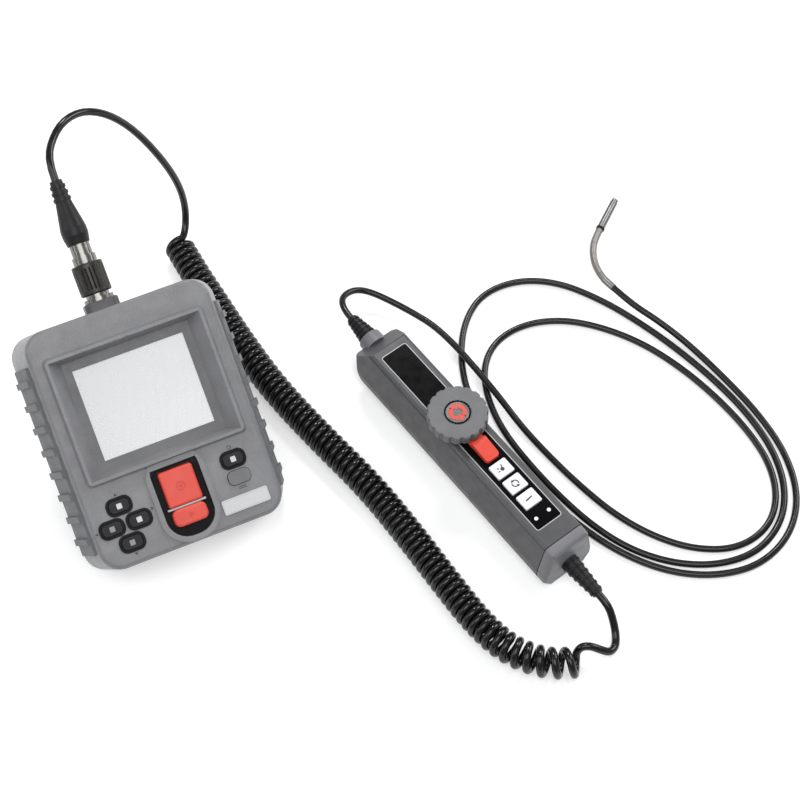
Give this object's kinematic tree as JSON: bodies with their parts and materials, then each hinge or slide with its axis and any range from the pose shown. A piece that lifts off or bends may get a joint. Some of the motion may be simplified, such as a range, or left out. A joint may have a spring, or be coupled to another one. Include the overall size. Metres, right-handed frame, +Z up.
{
  "type": "articulating inspection camera",
  "caption": "Handheld screen unit on a fold-out stand, joined by a curly cable to a wheel-steered handset with a long flexible camera probe.",
  "frame": {"origin": "on the table, below the middle of the box round the monitor and the handset, cords left out", "axes": "+X along the lower edge of the monitor, to its right; +Y away from its user; +Z up"},
  "size_m": [0.3867, 0.3684, 0.1332],
  "materials": {
    "case_grey": "fine texture",
    "case_dark": "satin",
    "grip_rubber": "matte",
    "black_plastic": "satin",
    "black_rubber": "satin",
    "cable_black": "satin",
    "tube_black": "satin",
    "red_plastic": "satin",
    "key_grey": "satin",
    "key_white": "satin",
    "light_white": "clear tip",
    "screen_lit": "even grey white",
    "window_clear": "polished",
    "plate_white": "blank",
    "board_green": "lacquered",
    "battery_blue": "sleeve",
    "nickel": "bright",
    "black_metal": "knurled",
    "steel": "brushed",
    "brass": "turned",
    "braid_steel": "woven",
    "lens_dark": "polished"
  },
  "bodies": {
    "frame": {"monitor_back_shell": "case_grey", "monitor_front_shell": "case_grey", "side_grips": "grip_rubber", "screen_bezel": "case_dark", "screen_window": "window_clear", "lcd_panel": "screen_lit", "main_board": "board_green", "key_rims": "black_plastic", "key_tray": "black_plastic", "key_mat": "black_rubber", "label_plate": "plate_white", "battery_cover": "case_grey", "battery_pack": "battery_blue", "stand_pin": "steel", "socket_boss": "case_grey", "panel_socket": "nickel", "plug_body": "nickel", "plug_boot": "black_rubber", "handset_tray": "case_grey", "handset_cover": "case_grey", "top_panel": "black_plastic", "handset_end_cap": "case_grey", "handset_board": "board_green", "nose_gland": "case_grey", "probe_relief": "black_rubber", "cord_relief": "black_rubber", "wheel_bush": "brass", "pull_wires": "steel", "indicator_lights": "light_white", "case_screws": "steel", "cable_upper": "cable_black", "cable_coil": "cable_black", "cable_lower": "cable_black", "insertion_tube": "tube_black", "tip_ferrule": "steel"},
    "key_up_body": {"key_up": "key_grey"},
    "key_right_body": {"key_right": "key_grey"},
    "key_down_body": {"key_down": "key_grey"},
    "key_left_body": {"key_left": "key_grey"},
    "power_key_body": {"power_key": "key_grey"},
    "menu_key_body": {"menu_key": "key_grey"},
    "capture_key_body": {"capture_key": "red_plastic"},
    "playback_key_body": {"playback_key": "red_plastic"},
    "white_key_1_body": {"white_key_1": "key_white"},
    "white_key_2_body": {"white_key_2": "key_white"},
    "white_key_3_body": {"white_key_3": "key_white"},
    "stand": {"stand_leg": "case_grey"},
    "ring": {"coupling_ring": "black_metal"},
    "wheel": {"articulation_wheel": "case_grey", "wheel_emblem": "red_plastic", "wheel_shaft": "steel", "wire_pulley": "brass"},
    "lever": {"lock_lever": "red_plastic"},
    "link_1": {"bend_link_1": "braid_steel"},
    "link_2": {"bend_link_2": "braid_steel"},
    "link_3": {"bend_link_3": "braid_steel"},
    "link_4": {"bend_link_4": "braid_steel"},
    "link_5": {"bend_link_5": "braid_steel", "camera_head": "steel", "camera_lens": "lens_dark"}
  },
  "joints": [
    {"name": "key_up_press", "type": "slide", "parent": "frame", "child": "key_up_body", "axis": [0, 0.5299, -0.848], "range_m": [0, 0.0008], "stiffness_N_per_m": 300},
    {"name": "key_right_press", "type": "slide", "parent": "frame", "child": "key_right_body", "axis": [0, 0.5299, -0.848], "range_m": [0, 0.0008], "stiffness_N_per_m": 300},
    {"name": "key_down_press", "type": "slide", "parent": "frame", "child": "key_down_body", "axis": [0, 0.5299, -0.848], "range_m": [0, 0.0008], "stiffness_N_per_m": 300},
    {"name": "key_left_press", "type": "slide", "parent": "frame", "child": "key_left_body", "axis": [0, 0.5299, -0.848], "range_m": [0, 0.0008], "stiffness_N_per_m": 300},
    {"name": "power_key_press", "type": "slide", "parent": "frame", "child": "power_key_body", "axis": [0, 0.5299, -0.848], "range_m": [0, 0.0008], "stiffness_N_per_m": 300},
    {"name": "menu_key_press", "type": "slide", "parent": "frame", "child": "menu_key_body", "axis": [0, 0.5299, -0.848], "range_m": [0, 0.0008], "stiffness_N_per_m": 300},
    {"name": "capture_key_press", "type": "slide", "parent": "frame", "child": "capture_key_body", "axis": [0, 0.5299, -0.848], "range_m": [0, 0.0008], "stiffness_N_per_m": 300},
    {"name": "playback_key_press", "type": "slide", "parent": "frame", "child": "playback_key_body", "axis": [0, 0.5299, -0.848], "range_m": [0, 0.0008], "stiffness_N_per_m": 300},
    {"name": "white_key_1_press", "type": "slide", "parent": "frame", "child": "white_key_1_body", "axis": [0, 0, -1], "range_m": [0, 0.0008], "stiffness_N_per_m": 300},
    {"name": "white_key_2_press", "type": "slide", "parent": "frame", "child": "white_key_2_body", "axis": [0, 0, -1], "range_m": [0, 0.0008], "stiffness_N_per_m": 300},
    {"name": "white_key_3_press", "type": "slide", "parent": "frame", "child": "white_key_3_body", "axis": [0, 0, -1], "range_m": [0, 0.0008], "stiffness_N_per_m": 300},
    {"name": "stand_fold", "type": "hinge", "parent": "frame", "child": "stand", "pos_m": [-0.0677, 0.06998, 0.05297], "axis": [1, 0, 0], "range_deg": [-80, 0]},
    {"name": "ring_turn", "type": "hinge", "parent": "frame", "child": "ring", "pos_m": [-0.0712, 0.10332, 0.09019], "axis": [0, 0.848, 0.5299], "range_deg": [0, 330]},
    {"name": "wheel_turn", "type": "hinge", "parent": "frame", "child": "wheel", "pos_m": [0.0883, -0.01714, 0.037], "axis": [0, 0, 1], "range_deg": [-49, 130]},
    {"name": "lever_turn", "type": "hinge", "parent": "frame", "child": "lever", "pos_m": [0.0883, -0.01714, 0.0345], "axis": [0, 0, 1], "range_deg": [0, 18]},
    {"name": "bend_1", "type": "hinge", "parent": "frame", "child": "link_1", "pos_m": [0.21333, 0.04917, 0.0072], "axis": [0, 0, 1], "range_deg": [-16.7, 43.5]},
    {"name": "bend_2", "type": "hinge", "parent": "link_1", "child": "link_2", "pos_m": [0.21273, 0.05654, 0.0072], "axis": [0, 0, 1], "range_deg": [-16.7, 43.5]},
    {"name": "bend_3", "type": "hinge", "parent": "link_2", "child": "link_3", "pos_m": [0.21387, 0.06386, 0.0072], "axis": [0, 0, 1], "range_deg": [-16.7, 43.5]},
    {"name": "bend_4", "type": "hinge", "parent": "link_3", "child": "link_4", "pos_m": [0.21666, 0.07071, 0.0072], "axis": [0, 0, 1], "range_deg": [-16.7, 43.5]},
    {"name": "bend_5", "type": "hinge", "parent": "link_4", "child": "link_5", "pos_m": [0.22097, 0.07673, 0.0072], "axis": [0, 0, 1], "range_deg": [-16.7, 43.5]}
  ],
  "couplings": [
    {"joint": "bend_1", "follows": "wheel_turn", "ratio": 0.33333},
    {"joint": "bend_2", "follows": "wheel_turn", "ratio": 0.33333},
    {"joint": "bend_3", "follows": "wheel_turn", "ratio": 0.33333},
    {"joint": "bend_4", "follows": "wheel_turn", "ratio": 0.33333},
    {"joint": "bend_5", "follows": "wheel_turn", "ratio": 0.33333}
  ]
}
